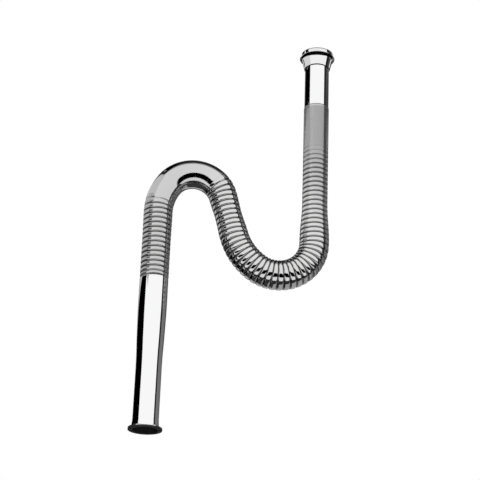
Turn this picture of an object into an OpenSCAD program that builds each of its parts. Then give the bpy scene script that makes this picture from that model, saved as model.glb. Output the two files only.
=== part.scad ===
// Flexible sink drain: a corrugated metal tube bent into a trap, with a smooth
// polished tail at each end, a coupling nut at the inlet and a washer at the outlet.
// The inlet tail runs down from the origin, and the tube is bent in the XZ plane.

/* [Route] */
// From the top of the inlet flange down to the trap bend
inlet_leg = 269; // [240:1:310]
// Centreline radius of the trap bend
trap_r = 47; // [42:1:56]
// Angle that the trap bend turns through
trap_a = 126; // [115:1:135]
// Centreline radius where the trap bend eases into the rising limb
ease_r = 79; // [65:1:100]
// Lean of the rising limb from the vertical
limb_lean = 17; // [10:1:22]
// Straight length of the rising limb
limb_l = 55; // [40:1:80]
// Centreline radius of the crown
crown_r = 39.5; // [36:0.5:48]
// Angle that the crown turns through
crown_a = 130; // [115:1:140]
// Centreline radius where the crown eases into the outlet leg
shoulder_r = 71; // [55:1:90]
// From the end of the crown's shoulder down to the outlet washer's face
outlet_leg = 286; // [250:5:320]

/* [Corrugated tube] */
// Wall thickness of the corrugated tube
tube_wall = 0.5; // [0.4:0.05:0.8]
// Distance from one ring to the next along the centreline
ring_pitch = 6.5; // [5.5:0.1:8]
// Depth of the groove between two rings
ring_depth = 0.9; // [0.6:0.05:1.1]
// Share of the pitch that a ring's crest takes
crest_share = 0.62; // [0.5:0.01:0.7]
// Axial length of a ring's sloping side on the straight stretches
ring_slope = 0.7; // [0.4:0.05:0.9]
// Outside radius over the rings in the trap bend
trap_crest = 19.2; // [18.6:0.1:19.6]
// Outside radius over the rings where the trap bend eases
ease_crest = 18.8; // [18.4:0.1:19.4]
// Outside radius over the rings half way up the rising limb
limb_crest = 17.5; // [17:0.1:18.2]
// Outside radius of the crown
crown_crest = 18.6; // [18.2:0.1:19.2]
// Outside radius over the rings on the outlet leg
outlet_crest = 18.1; // [17.9:0.1:18.6]
// Length on the inlet leg where the tube widens towards the trap bend
swell_l = 46; // [30:1:60]
// Smooth length of the tube below the inlet cuff's edge
plain_l = 55; // [45:1:70]
// Number of rings over which the grooves reach full depth
fade_rings = 6; // [3:1:8]
// Angle of the crown that still has rings, on its rising side
crown_rings_a = 27; // [15:1:40]
// Angle of the shoulder that has rings, on its outlet side
shoulder_rings_a = 11; // [6:1:16]
// Ringed length of the outlet leg
outlet_rings_l = 92; // [70:1:110]

/* [Inlet tail] */
// Outside diameter of both tails
tail_d = 32; // [30:0.5:33]
// Wall thickness of both tails
tail_wall = 0.8; // [0.6:0.05:1.2]
// From the top of the flange to the cuff of the corrugated tube
inlet_show = 74; // [65:1:90]
// Length of tail inside a cuff, or of a cuff inside a tail
lap_l = 12; // [8:1:16]
// Outside diameter of the inlet flange
flange_d = 38.4; // [37:0.1:38.6]
// Thickness of the inlet flange
flange_t = 1; // [0.8:0.1:1.4]
// Gap that the brazed joints leave round a tail
braze_gap = 0.03; // [0.02:0.01:0.06]

/* [Outlet tail] */
// Outside radius of the socket that takes the corrugated tube
socket_r = 17.9; // [17.4:0.1:18.2]
// Length of the socket
socket_l = 44; // [30:1:60]
// Length of the cone from the socket down to the tail's diameter
taper_l = 66; // [40:1:80]
// Length of the flare above the lip
flare_l = 11; // [6:1:16]
// Outside radius at the foot of the flare
flare_r = 17.2; // [16.6:0.1:18]
// Outside diameter of the outlet lip
lip_d = 42; // [40:0.5:44]
// Thickness of the outlet lip
lip_t = 0.9; // [0.8:0.1:1.4]

/* [Coupling nut] */
// Width across the nut's flats
nut_flats = 43.6; // [43.4:0.1:45]
// Diameter over the nut's turned corners
corner_d = 46.2; // [45.6:0.1:46.6]
// Diameter of the round collar below the flats
collar_d = 46.8; // [46.7:0.1:50]
// Height of the round collar
collar_h = 0.5; // [0.4:0.1:1.5]
// Height of the bevel below the collar
bevel_h = 2.9; // [2:0.1:3.2]
// Outside radius where the bevel meets the neck
bevel_foot_r = 20.4; // [20.3:0.1:21.4]
// Length of the neck below the bevel
neck_l = 13; // [8:1:18]
// Outside radius at the foot of the neck
neck_foot_r = 17.3; // [17.2:0.1:18.4]
// Radius of the thread's crests, for a G 1 1/4 pipe thread
thread_r = 19.5; // [19.45:0.05:19.6]
// Length of thread above the gasket
thread_l = 4.6; // [4:0.1:9]
// Radius of the plain bore that takes the flange and the slip ring
relief_r = 19.8; // [19.7:0.05:19.9]
// Height of the collar's top face above the flange's top face
collar_up = 1; // [0.5:0.1:2]
// Gap between the nut's bore and the inlet tail
nut_gap = 0.4; // [0.2:0.05:0.5]
// Chamfer on the upper edge of the flats and corners
nut_chamfer = 1.1; // [0.6:0.1:1.4]
// Chamfer at the mouth of the thread
mouth_chamfer = 0.5; // [0.3:0.1:0.8]

/* [Rings and washers] */
// Thickness of the slip ring between the nut's web and the flange
slip_t = 1.5; // [1:0.1:2]
// Gap between the slip ring and the inlet tail
slip_gap = 0.2; // [0.1:0.05:0.4]
// Gap between the slip ring and the nut's thread, which the ring passes through
slip_side_gap = 0.2; // [0.1:0.05:0.4]
// Thickness of the inlet gasket
gasket_t = 2.5; // [2:0.1:3]
// Width by which a washer's hole is larger than the tail's bore, all round
washer_gap = 0.3; // [0.1:0.05:0.6]
// Thickness of the outlet washer
washer_t = 1.8; // [1.4:0.1:3]

/* [Hidden] */
$fn = 72;
// Overshoot of a cut past the face that it opens
cut = 1;

tail_r = tail_d / 2;
bore_r = tail_r - tail_wall;
flange_r = flange_d / 2;
lip_r = lip_d / 2;
cuff_bore_r = tail_r + braze_gap;
leg_crest = cuff_bore_r + tube_wall;
outlet_cuff_r = socket_r - tail_wall - braze_gap;
ease_a = 180 - limb_lean - trap_a;
shoulder_a = 180 - limb_lean - crown_a;
// A crest's inner side is narrower than its outer side by this share of the wall
side_shift = 0.55;
// How far a bend's core reaches into the stretches beside it
core_over = 0.4;
// Length and height of the step at a straight's end, inside a bend's first crest
cover_l = 0.7;
cover_step = 0.25;
// The shoulder is a hair slimmer than the crown that it grows out of
shoulder_slim = 0.1;
shoulder_crest = crown_crest - shoulder_slim;

// A state is a point of the centreline, x and z, with the heading there in degrees
function after_line(s, l) = [s[0] + l * cos(s[2]), s[1] + l * sin(s[2]), s[2]];
// side 1 turns clockwise as seen from the front, side -1 the other way
function after_bend(s, r, a, side) =
    let (c = [s[0] + side * r * sin(s[2]), s[1] - side * r * cos(s[2])],
         h = s[2] - side * a)
    [c[0] - side * r * sin(h), c[1] + side * r * cos(h), h];

inlet_start = [0, 0, -90];
trap_start = after_line(inlet_start, inlet_leg);
ease_start = after_bend(trap_start, trap_r, trap_a, 1);
limb_start = after_bend(ease_start, ease_r, ease_a, 1);
crown_start = after_line(limb_start, limb_l);
shoulder_start = after_bend(crown_start, crown_r, crown_a, -1);
outlet_start = after_bend(shoulder_start, shoulder_r, shoulder_a, -1);

// Length along the outlet leg from the end of the shoulder to the lip's underside
outlet_lip_l = outlet_leg - washer_t;

// Puts a shape that runs along +Z from its own origin onto a state
module place(s) {
    translate([s[0], 0, s[1]]) rotate([0, 90 - s[2], 0]) children();
}

// Part of a bend: a disc of radius r swept from angle a0 through angle a
module sweep(bend_r, side, a0, a, r) {
    start = side > 0 ? 180 - a0 - a : a0;
    translate([side * bend_r, 0, 0]) rotate([90, 0, 0]) rotate([0, 0, start])
        rotate_extrude(angle = a) translate([bend_r, 0]) circle(r);
}

// Angle that a length of centreline takes in a bend
function arc_a(bend_r, l) = l / bend_r * 180 / PI;
function ring_count(l) = max(1, round(l / ring_pitch));

// Ringed bend: a core at the grooves' radius from a0 through angle a, and the crests
// as bands, each given as [start, angle]. The core reaches a little past both ends.
module banded_bend(bend_r, side, a0, a, crest, bands, inset) {
    over_a = arc_a(bend_r, core_over);
    side_a = arc_a(bend_r, inset);
    sweep(bend_r, side, a0 - over_a, a + 2 * over_a, crest - ring_depth - inset);
    for (b = bands)
        sweep(bend_r, side, b[0] + side_a, b[1] - 2 * side_a, crest - inset);
}

// Crests spread evenly over angle a from a0, numbered from first to last of n
function even_bands(a0, a, n, first, last) =
    [for (i = [first : last]) [a0 + (i - crest_share / 2) * a / n, crest_share * a / n]];

// One ring of a straight stretch as outline points, centred at z
function ring(z, p, c, d, inset) =
    let (half = crest_share * p / 2 - inset * side_shift)
    [[c - d - inset, z - half], [c - inset, z - half + ring_slope],
     [c - inset, z + half - ring_slope], [c - d - inset, z + half]];

// End of a straight stretch that a bend's first crest covers
function covered_end(z, dir, crest, inset) =
    let (r = crest - ring_depth - inset)
    dir > 0 ? [[r, z - cover_l], [r + cover_step, z - cover_l], [r + cover_step, z]]
            : [[r + cover_step, z], [r + cover_step, z + cover_l], [r, z + cover_l]];

function mix(a, b, t) = a + (b - a) * min(1, max(0, t));

// Crest radius on the inlet leg at distance l from the inlet flange
function leg_r(l) = mix(leg_crest, trap_crest, (l - inlet_leg + swell_l) / swell_l);
// Crest radius on the rising limb: narrow half way, wider at both ends
function limb_r(l) = l < limb_l / 2
    ? mix(ease_crest, limb_crest, l / (limb_l / 2))
    : mix(limb_crest, crown_crest, (l - limb_l / 2) / (limb_l / 2));
// Crest radius on the outlet leg, down from the shoulder
function outlet_r(l) = mix(crown_crest, outlet_crest, l / (outlet_rings_l / 2));

module inlet_leg_skin(inset) {
    z0 = inlet_show - (inset > 0 ? cut : 0);
    z1 = inlet_show + plain_l;
    n = ring_count(inlet_leg - z1);
    p = (inlet_leg - z1) / n;
    rotate_extrude() polygon(concat(
        [[0, z0], [leg_crest - inset, z0]],
        [for (i = [1 : n - 1]) each
            ring(z1 + i * p, p, leg_r(z1 + i * p), ring_depth * min(1, i / fade_rings), inset)],
        covered_end(inlet_leg, 1, trap_crest, inset), [[0, inlet_leg]]));
}

module limb_skin(inset) {
    n = ring_count(limb_l);
    p = limb_l / n;
    rotate_extrude() polygon(concat(
        [[0, 0]], covered_end(0, -1, ease_crest, inset),
        [for (i = [1 : n - 1]) each ring(i * p, p, limb_r(i * p), ring_depth, inset)],
        covered_end(limb_l, 1, crown_crest, inset), [[0, limb_l]]));
}

module outlet_leg_skin(inset) {
    n = ring_count(outlet_rings_l);
    p = outlet_rings_l / n;
    z1 = outlet_rings_l + lap_l + (inset > 0 ? cut : 0);
    rotate_extrude() polygon(concat(
        [[0, 0]], covered_end(0, -1, shoulder_crest, inset),
        [for (i = [1 : n - 1]) each ring(i * p, p, outlet_r(i * p), ring_depth, inset)],
        [[outlet_cuff_r - inset, outlet_rings_l], [outlet_cuff_r - inset, z1], [0, z1]]));
}

module trap_skin(inset) {
    n = ring_count(trap_r * trap_a * PI / 180);
    banded_bend(trap_r, 1, 0, trap_a, trap_crest, even_bands(0, trap_a, n, 0, n), inset);
}

module ease_skin(inset) {
    n = ring_count(ease_r * ease_a * PI / 180);
    banded_bend(ease_r, 1, 0, ease_a, ease_crest, even_bands(0, ease_a, n, 1, n), inset);
}

// The crown has rings only where it leaves the limb, and one long smooth stretch
module crown_skin(inset) {
    n = ring_count(crown_r * crown_rings_a * PI / 180);
    smooth_a0 = crown_rings_a * (1 - crest_share / 2 / n);
    side_a = arc_a(crown_r, inset);
    banded_bend(crown_r, -1, 0, crown_rings_a, crown_crest,
        even_bands(0, crown_rings_a, n, 0, n - 1), inset);
    sweep(crown_r, -1, smooth_a0 + side_a, crown_a - smooth_a0 - side_a, crown_crest - inset);
}

// The shoulder goes on smooth, and has rings again where it meets the outlet leg
module shoulder_skin(inset) {
    n = ring_count(shoulder_r * shoulder_rings_a * PI / 180);
    a0 = shoulder_a - shoulder_rings_a;
    over_a = arc_a(shoulder_r, core_over);
    smooth_a = a0 + shoulder_rings_a * crest_share / 2 / n - arc_a(shoulder_r, inset);
    sweep(shoulder_r, -1, -over_a, smooth_a + over_a, shoulder_crest - inset);
    banded_bend(shoulder_r, -1, a0, shoulder_rings_a, shoulder_crest,
        even_bands(a0, shoulder_rings_a, n, 1, n), inset);
}

// The whole corrugated tube as a solid, with its surface set in by inset
module tube_skin(inset) {
    place(inlet_start) inlet_leg_skin(inset);
    place(trap_start) trap_skin(inset);
    place(ease_start) ease_skin(inset);
    place(limb_start) limb_skin(inset);
    place(crown_start) crown_skin(inset);
    place(shoulder_start) shoulder_skin(inset);
    place(outlet_start) outlet_leg_skin(inset);
}

module corrugated_tube() {
    color([0.62, 0.62, 0.64]) difference() {
        tube_skin(0);
        tube_skin(tube_wall);
    }
}

module inlet_tail() {
    color([0.85, 0.86, 0.88]) place(inlet_start) rotate_extrude() difference() {
        union() {
            square([flange_r, flange_t]);
            square([tail_r, inlet_show + lap_l]);
        }
        translate([0, -cut]) square([bore_r, inlet_show + lap_l + 2 * cut]);
    }
}

// Outline of the outlet tail, outside or set in by the wall
function outlet_outline(inset) = let (
        z0 = outlet_rings_l, z1 = z0 + socket_l, z2 = z1 + taper_l,
        z3 = outlet_lip_l - flare_l)
    [[socket_r - inset, z0], [socket_r - inset, z1], [tail_r - inset, z2],
     [tail_r - inset, z3], [flare_r - inset, outlet_lip_l]];

module outlet_tail() {
    color([0.85, 0.86, 0.88]) place(outlet_start) rotate_extrude() {
        difference() {
            polygon(concat([[0, outlet_rings_l]], outlet_outline(0), [[0, outlet_lip_l]]));
            polygon(concat([[0, outlet_rings_l - cut], [socket_r - tail_wall, outlet_rings_l - cut]],
                outlet_outline(tail_wall),
                [[flare_r - tail_wall, outlet_lip_l + cut], [0, outlet_lip_l + cut]]));
        }
        translate([flare_r - tail_wall, outlet_lip_l - lip_t])
            square([lip_r - flare_r + tail_wall, lip_t]);
    }
}

// Heights of the nut, up from the flange's top face
web_top = -flange_t - slip_t;
bevel_top = collar_up - collar_h;
bevel_foot = bevel_top - bevel_h;
neck_foot = bevel_foot - neck_l;
nut_top = gasket_t + thread_l + mouth_chamfer;

module coupling_nut() {
    color([0.85, 0.86, 0.88]) difference() {
        union() {
            nut_flats_body();
            rotate_extrude() polygon([[0, neck_foot], [neck_foot_r, neck_foot],
                [bevel_foot_r, bevel_foot], [collar_d / 2, bevel_top],
                [collar_d / 2, collar_up], [0, collar_up]]);
        }
        translate([0, 0, neck_foot - cut])
            cylinder(r = tail_r + nut_gap, h = web_top - neck_foot + 2 * cut);
        translate([0, 0, web_top]) cylinder(r = relief_r, h = gasket_t - web_top);
        translate([0, 0, web_top]) cylinder(r = thread_r, h = nut_top - web_top + cut);
        translate([0, 0, nut_top - mouth_chamfer])
            cylinder(r1 = thread_r, r2 = thread_r + mouth_chamfer, h = mouth_chamfer);
    }
}

// The six flats, with their corners and upper edge turned
module nut_flats_body() {
    intersection() {
        translate([0, 0, bevel_top])
            cylinder(r = nut_flats / 2 / cos(30), h = nut_top - bevel_top, $fn = 6);
        rotate_extrude() polygon([[0, bevel_top], [corner_d / 2, bevel_top],
            [corner_d / 2, nut_top - nut_chamfer],
            [corner_d / 2 - 2 * nut_chamfer, nut_top], [0, nut_top]]);
    }
}

module washer(outer_r, inner_r, z, t) {
    translate([0, 0, z]) difference() {
        cylinder(r = outer_r, h = t);
        translate([0, 0, -cut]) cylinder(r = inner_r, h = t + 2 * cut);
    }
}

module slip_ring() {
    color([0.78, 0.66, 0.4])
        washer(thread_r - slip_side_gap, tail_r + slip_gap, web_top, slip_t);
}

module inlet_gasket() {
    color([0.12, 0.12, 0.12]) washer(flange_r, bore_r + washer_gap, 0, gasket_t);
}

module outlet_washer() {
    color([0.08, 0.08, 0.08]) place(outlet_start)
        washer(lip_r, bore_r + washer_gap, outlet_lip_l, washer_t);
}

corrugated_tube();
inlet_tail();
outlet_tail();
coupling_nut();
slip_ring();
inlet_gasket();
outlet_washer();
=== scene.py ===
"""Flexible sink drain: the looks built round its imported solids.

The inlet tail runs down from the origin, the tube is bent in the XZ plane and the front faces -Y.
All lengths are in metres.
"""
import math

import bmesh
import bpy
from mathutils import Matrix, Vector


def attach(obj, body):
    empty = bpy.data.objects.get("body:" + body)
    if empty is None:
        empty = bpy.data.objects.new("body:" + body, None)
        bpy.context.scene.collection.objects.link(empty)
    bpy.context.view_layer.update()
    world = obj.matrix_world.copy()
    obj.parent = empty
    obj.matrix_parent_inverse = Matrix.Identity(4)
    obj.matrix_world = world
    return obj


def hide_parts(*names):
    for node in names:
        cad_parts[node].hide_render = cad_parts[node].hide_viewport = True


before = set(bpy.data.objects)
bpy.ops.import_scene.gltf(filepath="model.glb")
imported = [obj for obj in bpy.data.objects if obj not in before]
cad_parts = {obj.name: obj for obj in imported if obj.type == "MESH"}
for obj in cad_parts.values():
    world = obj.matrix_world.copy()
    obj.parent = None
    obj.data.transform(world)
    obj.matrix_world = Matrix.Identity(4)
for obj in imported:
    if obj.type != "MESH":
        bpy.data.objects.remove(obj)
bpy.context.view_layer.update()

# Route of the tube's centreline, from the inlet flange to the outlet washer's face
INLET_LEG = 0.269
TRAP_R = 0.047
TRAP_A = 126
EASE_R = 0.079
LIMB_LEAN = 17
LIMB_L = 0.055
CROWN_R = 0.0395
CROWN_A = 130
SHOULDER_R = 0.071
OUTLET_LEG = 0.286

# Inlet tail and the cuff of the corrugated tube round it
TAIL_R = 0.016
BORE_R = 0.0152
INLET_SHOW = 0.074
LAP_L = 0.012
FLANGE_R = 0.0192
FLANGE_T = 0.001
CUFF_R = 0.01653

# Corrugated tube
TUBE_WALL = 0.0005
RING_PITCH = 0.0065
RING_DEPTH = 0.0011
PLAIN_L = 0.055
OUTLET_RINGS_L = 0.092

# Outlet tail
SOCKET_R = 0.0179
SOCKET_L = 0.044
TAPER_L = 0.066
FLARE_L = 0.011
FLARE_R = 0.0172
LIP_R = 0.021
LIP_T = 0.0009
TAIL_WALL = 0.0008
WASHER_T = 0.0018

# Coupling nut, with heights up from the flange's top face
NUT_FLATS = 0.0436
CORNER_R = 0.0231
COLLAR_R = 0.0234
COLLAR_UP = 0.001
BEVEL_TOP = 0.0005
BEVEL_FOOT = -0.0024
BEVEL_FOOT_R = 0.0204
NECK_FOOT = -0.0154
NECK_FOOT_R = 0.0173
NUT_GAP = 0.0004
NUT_CHAMFER = 0.0011
RELIEF_R = 0.0198
THREAD_R = 0.0195
THREAD_PITCH = 0.002309
THREAD_DEPTH = 0.0014
MOUTH_CHAMFER = 0.0005
WEB_TOP = -0.0025
GASKET_T = 0.0025
NUT_TOP = 0.0076

EASE_A = 180 - LIMB_LEAN - TRAP_A
SHOULDER_A = 180 - LIMB_LEAN - CROWN_A

# Stretches of the route: length, and radius with its sign of turn for a bend
STRETCHES = [
    (INLET_LEG, 0),
    (math.radians(TRAP_A) * TRAP_R, TRAP_R),
    (math.radians(EASE_A) * EASE_R, EASE_R),
    (LIMB_L, 0),
    (math.radians(CROWN_A) * CROWN_R, -CROWN_R),
    (math.radians(SHOULDER_A) * SHOULDER_R, -SHOULDER_R),
    (OUTLET_LEG, 0),
]
# Length along the route at which each stretch starts
STARTS = [sum(s[0] for s in STRETCHES[:i]) for i in range(len(STRETCHES) + 1)]


def route(l):
    """Point of the centreline at length l, and its heading in the XZ plane in radians."""
    x, z, heading = 0.0, 0.0, -math.pi / 2
    for length, bend in STRETCHES:
        step = min(l, length)
        if bend == 0:
            x += step * math.cos(heading)
            z += step * math.sin(heading)
        else:
            turned = heading - step / bend
            x += bend * (math.sin(heading) - math.sin(turned))
            z -= bend * (math.cos(heading) - math.cos(turned))
            heading = turned
        l -= step
        if l <= 0:
            break
    if l > 0:
        x += l * math.cos(heading)
        z += l * math.sin(heading)
    return x, z, heading


def section(l, r):
    """Places a unit circle as the tube's section of radius r at length l."""
    x, z, heading = route(l)
    turn = Matrix.Rotation(math.pi / 2 - heading, 4, "Y")
    return Matrix.Translation((x, 0, z)) @ turn @ Matrix.Diagonal((r, r, 1, 1))


OUTLET_X = route(STARTS[-1])[0]
OUTLET_TOP = route(STARTS[6])[1]

# Radius over the rings at lengths along the route
CRESTS = [
    (INLET_SHOW, CUFF_R),
    (STARTS[1] - 0.055, CUFF_R),
    (STARTS[1] - 0.004, 0.0191),
    (STARTS[1] + 0.020, 0.0192),
    (STARTS[2] - 0.004, 0.0191),
    (STARTS[3], 0.0186),
    (STARTS[3] + LIMB_L / 2, 0.0175),
    (STARTS[4], 0.0184),
    (STARTS[4] + 0.012, 0.0186),
    (STARTS[6], 0.0185),
    (STARTS[6] + 0.046, 0.0181),
    (STARTS[6] + OUTLET_RINGS_L - 0.004, 0.0181),
    (STARTS[6] + OUTLET_RINGS_L, SOCKET_R - TAIL_WALL - 0.00003),
    (STARTS[6] + OUTLET_RINGS_L + LAP_L, SOCKET_R - TAIL_WALL - 0.00003),
]


def crest(l):
    """Radius over the rings at length l, eased between the given places."""
    for (l0, r0), (l1, r1) in zip(CRESTS, CRESTS[1:]):
        if l <= l1:
            t = max(0.0, (l - l0) / (l1 - l0))
            return r0 + (r1 - r0) * t * t * (3 - 2 * t)
    return CRESTS[-1][1]


def groove_share(l):
    """How deep the grooves are at length l, from 0 on the smooth stretches to 1."""
    fade_in = (l - INLET_SHOW - PLAIN_L) / 0.045
    to_crown = (STARTS[4] + 0.022 - l) / 0.012
    from_crown = (l - STARTS[6] + 0.016) / 0.012
    to_socket = (STARTS[6] + OUTLET_RINGS_L - 0.002 - l) / 0.006
    return max(0.0, min(1.0, fade_in, max(to_crown, from_crown), to_socket))


# One ring's section: place along the pitch from groove to groove, and share of the groove's depth
RING_SECTION = [
    (-0.5, 1.0),
    (-0.43, 0.82),
    (-0.365, 0.40),
    (-0.30, 0.10),
    (-0.17, 0.015),
    (0.0, 0.0),
    (0.17, 0.015),
    (0.30, 0.10),
    (0.365, 0.40),
    (0.43, 0.82),
]

TUBE_SIDES = 54
TUBE_END = STARTS[6] + OUTLET_RINGS_L + LAP_L

# Finish of the corrugated tube at lengths along it
BASE_ALONG = [(0.0760, 0.60), (0.0775, 0.35), (0.13, 0.35), (0.20, 0.56), (0.27, 0.72), (0.46, 0.72), (0.51, 0.66), (0.58, 0.60), (0.64, 0.58)]
METAL_ALONG = [(0.13, 0.75), (0.22, 0.72), (0.28, 1.0), (0.46, 1.0), (0.56, 1.0), (0.61, 0.88)]
ROUGH_ALONG = [(0.13, 0.15), (0.22, 0.12), (0.28, 0.06), (0.46, 0.06), (0.56, 0.07), (0.61, 0.09)]
# Painted shade: dark grey multiplied into the base colour by groove depth, so the grooves render darker
GROOVE_PAINTED_SHADE = (0.09, 0.085, 0.08, 1)


def mesh_object(name, bm, body, smooth_angle=35):
    """Makes a piece of a bmesh, smooth except over edges sharper than smooth_angle."""
    mesh = bpy.data.meshes.new(name)
    bm.to_mesh(mesh)
    bm.free()
    mesh.shade_smooth()
    mesh.set_sharp_from_angle(angle=math.radians(smooth_angle))
    obj = bpy.data.objects.new(name, mesh)
    bpy.context.collection.objects.link(obj)
    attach(obj, body)
    return obj


def ring_stations():
    """Length, radius and groove depth from 0 to 1 of each section, from the cuff's edge to the socket."""
    end = STARTS[6] + OUTLET_RINGS_L + LAP_L
    first = INLET_SHOW + PLAIN_L
    last = STARTS[6] + OUTLET_RINGS_L
    stations = [(INLET_SHOW, CUFF_R - 0.0003, 1.0), (INLET_SHOW + 0.0006, CUFF_R - 0.00025, 1.0)]
    stations += [(INLET_SHOW + 0.0009, CUFF_R - 0.00005, 0.6), (INLET_SHOW + 0.0012, CUFF_R, 0.0)]
    l = INLET_SHOW + 0.006
    while l < first - 0.003:
        stations.append((l, crest(l), 0.0))
        l += 0.006
    rings = round((last - first) / RING_PITCH)
    pitch = (last - first) / rings
    for i in range(rings):
        for place, share in RING_SECTION:
            l = first + (i + 0.5 + place) * pitch
            depth = share * groove_share(l)
            stations.append((l, crest(l) - depth * RING_DEPTH, depth))
    stations += [(last, crest(last), 0.0), (end, crest(end), 0.0)]
    return stations


def corrugated_tube():
    """The ringed tube: one circle carried along the route, with its inner wall from Solidify."""
    stations = ring_stations()
    bm = bmesh.new()
    grooves = bm.verts.layers.float.new("groove")
    made = bmesh.ops.create_circle(bm, segments=TUBE_SIDES, radius=1)
    ring = made["verts"]
    place = section(*stations[0][:2])
    bmesh.ops.transform(bm, matrix=place, verts=ring)
    length_of = {v: stations[0][0] for v in ring}
    around = {v: i / TUBE_SIDES for i, v in enumerate(ring)}
    edges = list(bm.edges)
    for v in ring:
        v[grooves] = stations[0][2]
    for l, r, depth in stations[1:]:
        old = {v.co.copy().freeze(): around[v] for v in ring}
        grown = bmesh.ops.extrude_edge_only(bm, edges=edges)["geom"]
        ring = [g for g in grown if isinstance(g, bmesh.types.BMVert)]
        new_points = set(ring)
        edges = [g for g in grown if isinstance(g, bmesh.types.BMEdge) and new_points.issuperset(g.verts)]
        for v in ring:
            around[v] = old[v.co.copy().freeze()]
        next_place = section(l, r)
        bmesh.ops.transform(bm, matrix=next_place @ place.inverted(), verts=ring)
        place = next_place
        for v in ring:
            length_of[v] = l
            v[grooves] = depth
    uv = bm.loops.layers.uv.new("along")
    for face in bm.faces:
        turns = [around[loop.vert] for loop in face.loops]
        wraps = max(turns) - min(turns) > 0.5
        for loop, turn in zip(face.loops, turns):
            loop[uv].uv = (turn + 1 if wraps and turn < 0.5 else turn, length_of[loop.vert])
    bmesh.ops.recalc_face_normals(bm, faces=bm.faces)
    tube = mesh_object("ringed_tube", bm, "drain_tube", smooth_angle=70)
    wall = tube.modifiers.new("wall", "SOLIDIFY")
    wall.thickness = TUBE_WALL
    wall.offset = -1
    return tube


def turned(name, outline, body, x=0.0, sides=128, round_edges=0.0, smooth_angle=35):
    """A closed outline of (radius, height) points spun round the vertical through x."""
    bm = spun(outline, sides)
    if round_edges:
        round_corners(bm, round_edges)
    bmesh.ops.translate(bm, vec=(x, 0, 0), verts=bm.verts)
    return mesh_object(name, bm, body, smooth_angle)


def shared_volume(name, first, second):
    """The volume that two closed bmeshes share, as a new bmesh."""
    helpers = []
    for part, bm in (("one", first), ("two", second)):
        mesh = bpy.data.meshes.new(name + "_" + part)
        bm.to_mesh(mesh)
        bm.free()
        obj = bpy.data.objects.new(name + "_" + part, mesh)
        bpy.context.collection.objects.link(obj)
        helpers.append(obj)
    both = helpers[0].modifiers.new("shared", "BOOLEAN")
    both.operation = "INTERSECT"
    both.solver = "EXACT"
    both.object = helpers[1]
    bpy.context.view_layer.update()
    seen = helpers[0].evaluated_get(bpy.context.evaluated_depsgraph_get())
    bm = bmesh.new()
    bm.from_mesh(seen.to_mesh())
    seen.to_mesh_clear()
    for obj in helpers:
        mesh = obj.data
        bpy.data.objects.remove(obj)
        bpy.data.meshes.remove(mesh)
    return bm


def held(outline, hold=0.0006, over=10):
    """Adds points beside the sharp corners of a closed outline, so that long straights shade straight."""
    points = [Vector(p) for p in outline]
    legs = [b - a for a, b in zip(points, points[1:] + points[:1])]
    sharp = [legs[i - 1].angle(legs[i], 0) > math.radians(over) for i in range(len(points))]
    result = []
    for i, point in enumerate(points):
        result.append(point)
        if legs[i].length > 3 * hold:
            step = legs[i].normalized() * hold
            if sharp[i]:
                result.append(point + step)
            if sharp[(i + 1) % len(points)]:
                result.append(point + legs[i] - step)
    return result


def spun(outline, sides):
    """A closed outline of (radius, height) points spun round the Z axis, as a bmesh."""
    bm = bmesh.new()
    points = [bm.verts.new((r, 0, z)) for r, z in held(outline)]
    loop = [bm.edges.new((a, b)) for a, b in zip(points, points[1:] + points[:1])]
    bmesh.ops.spin(bm, geom=points + loop, cent=(0, 0, 0), axis=(0, 0, 1), angle=math.tau,
                   steps=sides, use_merge=True, use_duplicate=False)
    bmesh.ops.remove_doubles(bm, verts=bm.verts, dist=1e-6)
    bmesh.ops.recalc_face_normals(bm, faces=bm.faces)
    return bm


def round_corners(bm, size, over=40, segments=3):
    """Rounds the edges that turn by more than the given angle."""
    corners = [e for e in bm.edges
               if len(e.link_faces) == 2 and e.calc_face_angle() > math.radians(over)]
    bmesh.ops.bevel(bm, geom=corners, offset=size, affect="EDGES", segments=segments,
                    profile=0.5, material=-1, clamp_overlap=True)


def thread_depth(turn, z):
    """Depth of the thread's groove at a turn from 0 to 1 and a height: a rounded V."""
    place = (z / THREAD_PITCH - turn) % 1
    ramp = 1 - abs(2 * place - 1)
    return THREAD_DEPTH * max(0.0, min(1.0, (ramp - 0.12) / 0.72))


def nut_flats():
    """The six flats with their corners and upper edge turned."""
    prism = bmesh.new()
    bmesh.ops.create_circle(prism, cap_ends=True, segments=6, radius=NUT_FLATS / 2 / math.cos(math.pi / 6))
    corner_turn = Matrix.Rotation(math.pi / 6, 4, "Z")
    bmesh.ops.transform(prism, matrix=Matrix.Translation((0, 0, BEVEL_TOP)) @ corner_turn,
                        verts=prism.verts)
    top = bmesh.ops.extrude_face_region(prism, geom=list(prism.faces))["geom"]
    bmesh.ops.translate(prism, vec=(0, 0, NUT_TOP - BEVEL_TOP),
                        verts=[v for v in top if isinstance(v, bmesh.types.BMVert)])
    bmesh.ops.recalc_face_normals(prism, faces=prism.faces)
    envelope = spun([
        (THREAD_R + THREAD_DEPTH, BEVEL_TOP - 0.001), (CORNER_R, BEVEL_TOP - 0.001),
        (CORNER_R, NUT_TOP - NUT_CHAMFER), (CORNER_R - 2 * NUT_CHAMFER, NUT_TOP),
        (THREAD_R + THREAD_DEPTH, NUT_TOP + 0.001),
    ], 144)
    flats = shared_volume("nut_flats", prism, envelope)
    round_corners(flats, 0.0005, over=25)
    return flats


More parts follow.
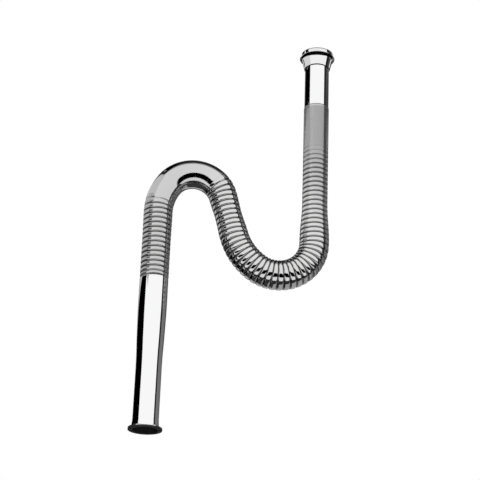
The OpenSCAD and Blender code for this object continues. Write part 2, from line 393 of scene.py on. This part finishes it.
def coupling_nut():
    """The nut: turned collar, bevel and neck, with the thread cut in its bore, and the flats."""
    thread_steps = 44
    inner = [(THREAD_R, GASKET_T + (NUT_TOP - GASKET_T) * i / thread_steps)
             for i in range(thread_steps + 1)]
    outline = [
        (TAIL_R + NUT_GAP, NECK_FOOT), (NECK_FOOT_R - 0.0005, NECK_FOOT), (NECK_FOOT_R - 0.0002, NECK_FOOT + 0.0002),
        (NECK_FOOT_R, NECK_FOOT + 0.0008), (NECK_FOOT_R + 0.0004, NECK_FOOT + 0.0025),
        (BEVEL_FOOT_R - 0.0006, BEVEL_FOOT - 0.0015), (BEVEL_FOOT_R, BEVEL_FOOT),
        (COLLAR_R - 0.0006, BEVEL_TOP - 0.0007), (COLLAR_R - 0.0001, BEVEL_TOP - 0.00005),
        (COLLAR_R, COLLAR_UP - 0.0002), (COLLAR_R - 0.0003, COLLAR_UP),
        (THREAD_R + THREAD_DEPTH, COLLAR_UP), (THREAD_R + THREAD_DEPTH, NUT_TOP),
    ] + inner[::-1] + [(RELIEF_R, GASKET_T), (RELIEF_R, WEB_TOP), (TAIL_R + NUT_GAP, WEB_TOP)]
    body = spun(outline, 144)
    for v in body.verts:
        r = math.hypot(v.co.x, v.co.y)
        if abs(r - THREAD_R) < 1e-5 and v.co.z > GASKET_T - 1e-6:
            depth = thread_depth(math.atan2(v.co.y, v.co.x) / math.tau % 1, v.co.z)
            mouth = MOUTH_CHAMFER - (NUT_TOP - v.co.z)
            grown = (THREAD_R + max(depth, mouth)) / r
            v.co.x *= grown
            v.co.y *= grown
    flats = nut_flats()
    joined = bpy.data.meshes.new("flats")
    flats.to_mesh(joined)
    flats.free()
    body.from_mesh(joined)
    bpy.data.meshes.remove(joined)
    nut = mesh_object("threaded_coupling_nut", body, "coupling_nut", smooth_angle=32)
    even = nut.modifiers.new("even_flats", "WEIGHTED_NORMAL")
    even.keep_sharp = True
    return nut


def inlet_tail():
    """The inlet tail with its turned-out flange."""
    root_r = 0.0008
    outline = [
        (BORE_R, 0), (FLANGE_R, 0), (FLANGE_R, -FLANGE_T), (TAIL_R + root_r, -FLANGE_T),
        (TAIL_R + root_r * 0.3, -FLANGE_T - root_r * 0.3), (TAIL_R, -FLANGE_T - root_r),
        (TAIL_R, -INLET_SHOW - LAP_L), (BORE_R, -INLET_SHOW - LAP_L),
    ]
    return turned("polished_inlet_tail", outline, "drain_tube", round_edges=0.00018)


def outlet_tail():
    """The outlet tail: socket, long cone, straight tube, flare and lip, all of one wall."""
    top = OUTLET_TOP - OUTLET_RINGS_L
    lip = OUTLET_TOP - OUTLET_LEG + WASHER_T
    flare = lip + FLARE_L
    cone = top - SOCKET_L
    foot = cone - TAPER_L
    w = TAIL_WALL
    outside = [
        (SOCKET_R, top), (SOCKET_R, cone + 0.006), (SOCKET_R - 0.00006, cone),
        (TAIL_R + 0.0009, foot + TAPER_L * 0.42), (TAIL_R + 0.00025, foot + 0.012),
        (TAIL_R, foot - 0.004), (TAIL_R, flare + 0.002), (TAIL_R + 0.00025, flare - 0.003),
        (FLARE_R - 0.0002, lip + LIP_T + 0.0012), (FLARE_R + 0.0006, lip + LIP_T),
        (LIP_R, lip + LIP_T), (LIP_R, lip),
    ]
    inside = [
        (FLARE_R - w, lip), (FLARE_R - w - 0.0003, lip + 0.003), (BORE_R + 0.0002, flare - 0.003),
        (BORE_R, flare + 0.002), (BORE_R, foot - 0.004), (BORE_R + 0.00025, foot + 0.012),
        (BORE_R + 0.0009, foot + TAPER_L * 0.42), (SOCKET_R - w - 0.00006, cone),
        (SOCKET_R - w, cone + 0.006), (SOCKET_R - w, top),
    ]
    return turned("polished_outlet_tail", outside + inside, "drain_tube", x=OUTLET_X,
                  round_edges=0.00018, smooth_angle=30)


def washer(name, body, outer_r, inner_r, low, high, x=0.0, round_edges=0.0003):
    """A flat ring with rounded edges."""
    outline = [(inner_r, low), (outer_r, low), (outer_r, high), (inner_r, high)]
    return turned(name, outline, body, x=x, sides=96, round_edges=round_edges)


def new_material(name):
    """An empty node material with its Principled shader and the piece's own coordinates."""
    mat = bpy.data.materials.new(name)
    mat.use_nodes = True
    tree = mat.node_tree
    shader = tree.nodes["Principled BSDF"]
    place = tree.nodes.new("ShaderNodeTexCoord")
    return mat, tree, shader, place


def wear_group():
    """Fine marks of a worked metal surface: a mask of smudges and a height of drawn lines."""
    group = bpy.data.node_groups.new("metal_marks", "ShaderNodeTree")
    for name, kind, default in (("Place", "NodeSocketVector", None), ("Smudge Size", "NodeSocketFloat", 30),
                                ("Line Size", "NodeSocketFloat", 900)):
        made = group.interface.new_socket(name=name, in_out="INPUT", socket_type=kind)
        if default is not None:
            made.default_value = default
    for name in ("Smudges", "Lines"):
        group.interface.new_socket(name=name, in_out="OUTPUT", socket_type="NodeSocketFloat")
    nodes, links = group.nodes, group.links
    inputs = nodes.new("NodeGroupInput")
    outputs = nodes.new("NodeGroupOutput")
    smudge = nodes.new("ShaderNodeTexNoise")
    smudge.inputs["Detail"].default_value = 4
    smudge.inputs["Roughness"].default_value = 0.6
    links.new(inputs.outputs["Place"], smudge.inputs["Vector"])
    links.new(inputs.outputs["Smudge Size"], smudge.inputs["Scale"])
    ramp = nodes.new("ShaderNodeMapRange")
    ramp.inputs["From Min"].default_value = 0.38
    ramp.inputs["From Max"].default_value = 0.72
    links.new(smudge.outputs["Fac"], ramp.inputs["Value"])
    links.new(ramp.outputs["Result"], outputs.inputs["Smudges"])
    lines = nodes.new("ShaderNodeTexNoise")
    lines.inputs["Detail"].default_value = 2
    links.new(inputs.outputs["Place"], lines.inputs["Vector"])
    links.new(inputs.outputs["Line Size"], lines.inputs["Scale"])
    links.new(lines.outputs["Fac"], outputs.inputs["Lines"])
    return group


MARKS = wear_group()


def marks(tree, place_output, smudge_size, line_size):
    node = tree.nodes.new("ShaderNodeGroup")
    node.node_tree = MARKS
    node.inputs["Smudge Size"].default_value = smudge_size
    node.inputs["Line Size"].default_value = line_size
    tree.links.new(place_output, node.inputs["Place"])
    return node


def mapped(tree, value, low, high):
    """Spreads a value of 0 to 1 over low to high."""
    node = tree.nodes.new("ShaderNodeMapRange")
    node.inputs["To Min"].default_value = low
    node.inputs["To Max"].default_value = high
    tree.links.new(value, node.inputs["Value"])
    return node.outputs["Result"]


def bumped(tree, shader, height, strength, distance):
    bump = tree.nodes.new("ShaderNodeBump")
    bump.inputs["Strength"].default_value = strength
    bump.inputs["Distance"].default_value = distance
    tree.links.new(height, bump.inputs["Height"])
    tree.links.new(bump.outputs["Normal"], shader.inputs["Normal"])


def polished_chrome(name, base, low, high):
    """Mirror chrome with faint smudges in its gloss."""
    mat, tree, shader, place = new_material(name)
    shader.inputs["Metallic"].default_value = 1
    shader.inputs["Base Color"].default_value = (*base, 1)
    marked = marks(tree, place.outputs["Object"], 45, 700)
    tree.links.new(mapped(tree, marked.outputs["Smudges"], low, high), shader.inputs["Roughness"])
    bumped(tree, shader, marked.outputs["Lines"], 0.006, 0.0002)
    return mat


def nut_chrome():
    """The nut's chrome, a little duller than the tails', with a painted dark band of shade along its upper edge."""
    mat, tree, shader, place = new_material("nut_chrome")
    shader.inputs["Metallic"].default_value = 1
    split = tree.nodes.new("ShaderNodeSeparateXYZ")
    tree.links.new(place.outputs["Object"], split.inputs["Vector"])
    # Painted shade: the base colour goes from light chrome to dark grey over the nut's top edge
    edge = tree.nodes.new("ShaderNodeMapRange")
    edge.inputs["From Min"].default_value = NUT_TOP - 0.0016
    edge.inputs["From Max"].default_value = NUT_TOP - 0.0004
    tree.links.new(split.outputs["Z"], edge.inputs["Value"])
    colour = tree.nodes.new("ShaderNodeMix")
    colour.data_type = "RGBA"
    colour.inputs["A"].default_value = (0.86, 0.86, 0.87, 1)
    colour.inputs["B"].default_value = (0.14, 0.14, 0.14, 1)
    tree.links.new(edge.outputs["Result"], colour.inputs["Factor"])
    tree.links.new(colour.outputs["Result"], shader.inputs["Base Color"])
    marked = marks(tree, place.outputs["Object"], 45, 700)
    tree.links.new(mapped(tree, marked.outputs["Smudges"], 0.04, 0.07), shader.inputs["Roughness"])
    bumped(tree, shader, marked.outputs["Lines"], 0.02, 0.0001)
    return mat


def ramp_along(tree, value, points):
    """A grey that follows the given lengths along the tube."""
    ramp = tree.nodes.new("ShaderNodeValToRGB")
    steps = ramp.color_ramp.elements
    while len(steps) < len(points):
        steps.new(0.5)
    for step, (l, grey) in zip(steps, points):
        step.position = l / TUBE_END
    for step, (l, grey) in zip(steps, points):
        step.color = (grey, grey, grey, 1)
    tree.links.new(value, ramp.inputs["Fac"])
    return ramp.outputs["Color"]


def satin_tube():
    """The corrugated tube: satin at the inlet, brighter round the trap, with painted shade darkening its grooves."""
    mat, tree, shader, place = new_material("satin_ringed_tube")
    uv = tree.nodes.new("ShaderNodeUVMap")
    uv.uv_map = "along"
    split = tree.nodes.new("ShaderNodeSeparateXYZ")
    tree.links.new(uv.outputs["UV"], split.inputs["Vector"])
    along = tree.nodes.new("ShaderNodeMapRange")
    along.inputs["From Max"].default_value = TUBE_END
    tree.links.new(split.outputs["Y"], along.inputs["Value"])
    tree.links.new(ramp_along(tree, along.outputs["Result"], METAL_ALONG), shader.inputs["Metallic"])
    marked = marks(tree, place.outputs["Object"], 60, 1200)
    rough = tree.nodes.new("ShaderNodeMath")
    tree.links.new(mapped(tree, marked.outputs["Smudges"], 0.0, 0.05), rough.inputs[0])
    tree.links.new(ramp_along(tree, along.outputs["Result"], ROUGH_ALONG), rough.inputs[1])
    tree.links.new(rough.outputs["Value"], shader.inputs["Roughness"])
    # Painted shade in the grooves: their depth multiplies the base colour towards dark grey
    groove = tree.nodes.new("ShaderNodeAttribute")
    groove.attribute_name = "groove"
    groove_shade_mix = tree.nodes.new("ShaderNodeMix")
    groove_shade_mix.data_type = "RGBA"
    groove_shade_mix.blend_type = "MULTIPLY"
    groove_shade_mix.inputs["B"].default_value = GROOVE_PAINTED_SHADE
    tree.links.new(groove.outputs["Fac"], groove_shade_mix.inputs["Factor"])
    tree.links.new(ramp_along(tree, along.outputs["Result"], BASE_ALONG), groove_shade_mix.inputs["A"])
    tree.links.new(groove_shade_mix.outputs["Result"], shader.inputs["Base Color"])
    bumped(tree, shader, marked.outputs["Lines"], 0.05, 0.0002)
    return mat


def machined_brass():
    mat, tree, shader, place = new_material("machined_brass")
    shader.inputs["Metallic"].default_value = 1
    marked = marks(tree, place.outputs["Object"], 150, 2500)
    colour = tree.nodes.new("ShaderNodeMix")
    colour.data_type = "RGBA"
    colour.inputs["A"].default_value = (0.78, 0.58, 0.27, 1)
    colour.inputs["B"].default_value = (0.62, 0.44, 0.19, 1)
    tree.links.new(marked.outputs["Smudges"], colour.inputs["Factor"])
    tree.links.new(colour.outputs["Result"], shader.inputs["Base Color"])
    tree.links.new(mapped(tree, marked.outputs["Smudges"], 0.22, 0.4), shader.inputs["Roughness"])
    bumped(tree, shader, marked.outputs["Lines"], 0.15, 0.0002)
    return mat


def dull_bore_painted_shade():
    """The unpolished inside of the tubes, with painted shade making it near black."""
    mat, tree, shader, place = new_material("dull_bore_painted_shade")
    shader.inputs["Metallic"].default_value = 0.6
    marked = marks(tree, place.outputs["Object"], 90, 900)
    # Painted shade: the bore's base colour is near black, varied at random by the smudges
    colour = tree.nodes.new("ShaderNodeMix")
    colour.data_type = "RGBA"
    colour.inputs["A"].default_value = (0.022, 0.021, 0.020, 1)
    colour.inputs["B"].default_value = (0.045, 0.043, 0.040, 1)
    tree.links.new(marked.outputs["Smudges"], colour.inputs["Factor"])
    tree.links.new(colour.outputs["Result"], shader.inputs["Base Color"])
    tree.links.new(mapped(tree, marked.outputs["Smudges"], 0.55, 0.7), shader.inputs["Roughness"])
    bumped(tree, shader, marked.outputs["Lines"], 0.1, 0.0002)
    return mat


def black_rubber():
    mat, tree, shader, place = new_material("black_rubber")
    marked = marks(tree, place.outputs["Object"], 120, 3000)
    colour = tree.nodes.new("ShaderNodeMix")
    colour.data_type = "RGBA"
    colour.inputs["A"].default_value = (0.010, 0.010, 0.010, 1)
    colour.inputs["B"].default_value = (0.020, 0.020, 0.021, 1)
    tree.links.new(marked.outputs["Smudges"], colour.inputs["Factor"])
    tree.links.new(colour.outputs["Result"], shader.inputs["Base Color"])
    tree.links.new(mapped(tree, marked.outputs["Smudges"], 0.55, 0.75), shader.inputs["Roughness"])
    bumped(tree, shader, marked.outputs["Lines"], 0.2, 0.0002)
    return mat


CHROME = polished_chrome("polished_chrome", (0.93, 0.93, 0.94), 0.03, 0.07)
NUT_CHROME = nut_chrome()
SATIN = satin_tube()
BRASS = machined_brass()
RUBBER = black_rubber()
DULL_BORE_PAINTED_SHADE = dull_bore_painted_shade()


def finish_in(obj, mat):
    obj.data.materials.clear()
    obj.data.materials.append(mat)


def dull_and_shaded_inside(obj, x):
    """Gives the faces that look towards the vertical through x the unpolished inner finish with its painted shade.
    """
    obj.data.materials.append(DULL_BORE_PAINTED_SHADE)
    for face in obj.data.polygons:
        outward = Vector((face.center.x - x, face.center.y, 0)).normalized()
        if face.normal.dot(outward) < -0.3:
            face.material_index = 1
    return obj


def dress(obj, mat, slot, *nodes):
    """Gives a new piece its finish, and hides the solids it stands for."""
    finish_in(obj, mat)
    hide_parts(*nodes)


tube = corrugated_tube()
dress(tube, SATIN, "satin_tube", "corrugated_tube")
# The tube's inner wall takes the bore's near-black painted shade
tube.data.materials.append(DULL_BORE_PAINTED_SHADE)
tube.modifiers["wall"].material_offset = 1
inlet = inlet_tail()
dress(inlet, CHROME, "polished_tail", "inlet_tail")
dull_and_shaded_inside(inlet, 0)
outlet = outlet_tail()
dress(outlet, CHROME, "polished_tail", "outlet_tail")
dull_and_shaded_inside(outlet, OUTLET_X)
dress(washer("rubber_gasket", "drain_tube", FLANGE_R, BORE_R + 0.0003, 0, 0.0025),
      RUBBER, "rubber", "inlet_gasket")
dress(washer("rubber_foot_washer", "drain_tube", LIP_R, BORE_R + 0.0003,
             OUTLET_TOP - OUTLET_LEG, OUTLET_TOP - OUTLET_LEG + WASHER_T, x=OUTLET_X),
      RUBBER, "rubber", "outlet_washer")
dress(washer("brass_slip_ring", "slip_ring", 0.0193, TAIL_R + 0.0002, -0.0025, -0.0010,
             round_edges=0.00015), BRASS, "brass_ring", "slip_ring")
dress(coupling_nut(), NUT_CHROME, "polished_nut", "coupling_nut")


def matt_white(name, colour):
    """A matt floor colour."""
    mat, tree, shader, place = new_material(name)
    shader.inputs["Roughness"].default_value = 0.9
    shader.inputs["Specular IOR Level"].default_value = 0.1
    shader.inputs["Base Color"].default_value = (*colour, 1)
    return mat


def card_paint(name, grey):
    """A card that looks the same grey from everywhere."""
    mat = bpy.data.materials.new(name)
    mat.use_nodes = True
    tree = mat.node_tree
    tree.nodes.remove(tree.nodes["Principled BSDF"])
    glow = tree.nodes.new("ShaderNodeEmission")
    glow.inputs["Color"].default_value = (grey, grey, grey, 1)
    glow.inputs["Strength"].default_value = 1
    tree.links.new(glow.outputs["Emission"], tree.nodes["Material Output"].inputs["Surface"])
    return mat


def sheet_of(name, corner, across, up, mat):
    """A flat staged sheet from one corner along two edges."""
    bm = bmesh.new()
    bmesh.ops.create_grid(bm, x_segments=1, y_segments=1, size=0.5)
    a, b = Vector(across), Vector(up)
    n = a.cross(b).normalized()
    turn = Matrix((a, b, n)).transposed().to_4x4()
    middle = Vector(corner) + (a + b) / 2
    bmesh.ops.transform(bm, matrix=Matrix.Translation(middle) @ turn, verts=bm.verts)
    mesh = bpy.data.meshes.new(name)
    bm.to_mesh(mesh)
    bm.free()
    obj = bpy.data.objects.new(name, mesh)
    bpy.context.collection.objects.link(obj)
    mesh.materials.append(mat)
    return obj


def card(name, corner, across, up, grey):
    """A studio card: only mirrored by the metal, and never seen itself."""
    obj = sheet_of(name, corner, across, up, card_paint(name + "_paint", grey))
    obj.visible_camera = False
    obj.visible_shadow = False
    obj.visible_diffuse = False
    return obj


def one_sided(mat):
    """Makes a card's paint clear when it is met from behind."""
    tree = mat.node_tree
    glow = tree.nodes["Emission"]
    clear = tree.nodes.new("ShaderNodeBsdfTransparent")
    facing = tree.nodes.new("ShaderNodeNewGeometry")
    mix = tree.nodes.new("ShaderNodeMixShader")
    tree.links.new(facing.outputs["Backfacing"], mix.inputs["Fac"])
    tree.links.new(glow.outputs["Emission"], mix.inputs[1])
    tree.links.new(clear.outputs["BSDF"], mix.inputs[2])
    tree.links.new(mix.outputs["Shader"], tree.nodes["Material Output"].inputs["Surface"])


FLOOR_Z = -1.2
sheet_of("floor", (-4, -4, FLOOR_Z), (8, 0, 0), (0, 8, 0), matt_white("floor_paint", (0.8, 0.8, 0.8)))
card("left_flag_low", (-0.42, -0.10, -1.0), (0, 0.58, 0), (0, 0, 0.75), 0.0)
card("left_card_low", (-0.42, -0.20, -0.25), (0, 0.68, 0), (0, 0, 0.19), 0.50)
card("left_card_high", (-0.42, -0.20, -0.06), (0, 0.68, 0), (0, 0, 0.20), 0.75)
card("left_flag_high", (-0.42, -0.10, 0.14), (0, 0.65, 0), (0, 0, 0.9), 0.0)
card("left_window", (-0.415, 0.11, 0.230), (0, 0.09, 0), (0, 0, 0.032), 1.0)
card("right_flag", (0.60, -0.28, -1.0), (0, 0.24, 0), (0, 0, 1.9), 0.015)
card("right_card_low", (0.60, -0.04, -1.0), (0, 0.74, 0), (0, 0, 1.08), 0.17)
card("right_card_high", (0.60, -0.04, 0.08), (0, 0.74, 0), (0, 0, 1.2), 0.06)
card("back_card_low", (-1.4, 0.75, -0.62), (2.4, 0, 0), (0, 0, 0.20), 0.70)
card("back_card_middle", (-1.4, 0.75, -0.42), (2.4, 0, 0), (0, 0, 0.62), 0.12)
card("back_card_high", (-1.4, 0.75, 0.2), (2.4, 0, 0), (0, 0, 1.3), 0.05)
card("right_window_low", (0.595, 0.20, 0.11), (0, 0.30, 0), (0, 0, 0.13), 0.7)
card("right_window_high", (0.595, 0.44, 0.40), (0, 0.10, 0), (0, 0, 0.05), 0.9)
card("back_window", (-0.60, 0.745, 0.22), (0.30, 0, 0), (0, 0, 0.11), 0.8)
card("back_flag_left", (-0.60, 0.745, -0.10), (0.55, 0, 0), (0, 0, 0.15), 0.0)
card("back_flag_right", (0.40, 0.745, -0.12), (0.22, 0, 0), (0, 0, 0.17), 0.0)
card("top_card", (-1.4, -0.15, 1.5), (2.4, 0, 0), (0, 0.90, 0), 0.02)
card("top_strip", (-1.4, -0.50, 1.5), (2.4, 0, 0), (0, 0.35, 0), 0.40)
card("left_flag_front", (-0.415, -0.20, -0.235), (0, 0.15, 0), (0, 0, 0.105), 0.0)
card("front_low_flag", (-2.0, -3.2, -0.62), (4.0, 0, 0), (0, 2.78, 0), 0.0)
card("front_low_card", (-2.0, -0.42, -0.62), (4.0, 0, 0), (0, 0.27, 0), 0.95)
card("under_flag", (-2.0, -0.15, -0.62), (4.0, 0, 0), (0, 0.17, 0), 0.03)
card("under_card_left", (-1.4, 0.02, -0.62), (1.35, 0, 0), (0, 0.40, 0), 0.05)
card("under_card_right", (-0.05, 0.02, -0.62), (1.04, 0, 0), (0, 0.40, 0), 0.42)
one_sided(card("crown_flag", (-0.26, 0.0, -0.30), (0.18, 0, 0), (0, 0.16, 0), 0.05).data.materials[0])
one_sided(card("nut_flag", (-0.06, -0.06, -0.016), (0.12, 0, 0), (0, 0.12, 0), 0.0).data.materials[0])


def studio_world():
    """White behind the object, and a softer white that lights it."""
    world = bpy.data.worlds.new("studio")
    bpy.context.scene.world = world
    world.use_nodes = True
    tree = world.node_tree
    back = tree.nodes["Background"]
    back.inputs["Color"].default_value = (1, 1, 1, 1)
    path = tree.nodes.new("ShaderNodeLightPath")
    seen = tree.nodes.new("ShaderNodeMath")
    seen.operation = "MAXIMUM"
    tree.links.new(path.outputs["Is Camera Ray"], seen.inputs[0])
    tree.links.new(path.outputs["Is Glossy Ray"], seen.inputs[1])
    strength = tree.nodes.new("ShaderNodeMapRange")
    strength.inputs["To Min"].default_value = 0.3
    strength.inputs["To Max"].default_value = 1.0
    tree.links.new(seen.outputs["Value"], strength.inputs["Value"])
    tree.links.new(strength.outputs["Result"], back.inputs["Strength"])


def soft_lamp(name, at, towards, size, power):
    lamp = bpy.data.lights.new(name, "AREA")
    lamp.shape = "SQUARE"
    lamp.size = size
    lamp.energy = power
    obj = bpy.data.objects.new(name, lamp)
    bpy.context.collection.objects.link(obj)
    obj.location = at
    obj.rotation_mode = "QUATERNION"
    obj.rotation_quaternion = (Vector(towards) - Vector(at)).to_track_quat("-Z", "Y")
    obj.visible_glossy = False
    return obj


# Camera fitted to the photograph: target, distance, angles and lens
AIM = Vector((-0.09584, 0, -0.27172))
CAMERA_FAR = 1.8646
CAMERA_AZ = math.radians(6.329)
CAMERA_EL = math.radians(-22.345)
CAMERA_ROLL = math.radians(2.149)
FRAME_PX = 480
FOCAL_PX = 1461.27
SENSOR_MM = 36


def photo_camera():
    ahead = Vector((math.sin(CAMERA_AZ) * math.cos(CAMERA_EL),
                    math.cos(CAMERA_AZ) * math.cos(CAMERA_EL), -math.sin(CAMERA_EL)))
    level = ahead.cross(Vector((0, 0, 1))).normalized()
    upright = level.cross(ahead)
    right = math.cos(CAMERA_ROLL) * level + math.sin(CAMERA_ROLL) * upright
    up = math.cos(CAMERA_ROLL) * upright - math.sin(CAMERA_ROLL) * level
    lens = bpy.data.cameras.new("photo_camera")
    lens.sensor_width = SENSOR_MM
    lens.lens = FOCAL_PX / FRAME_PX * SENSOR_MM
    lens.clip_start = 0.05
    cam = bpy.data.objects.new("photo_camera", lens)
    bpy.context.collection.objects.link(cam)
    turn = Matrix((right, up, -ahead)).transposed()
    cam.rotation_mode = "QUATERNION"
    cam.rotation_quaternion = turn.to_quaternion()
    cam.location = AIM - ahead * CAMERA_FAR
    bpy.context.scene.camera = cam


studio_world()
soft_lamp("key_lamp", (-1.6, -1.5, 0.6), AIM, 1.2, 65)
soft_lamp("fill_lamp", (1.5, -1.2, 0.6), AIM, 1.2, 5)
photo_camera()
bpy.context.scene.view_settings.view_transform = "Standard"
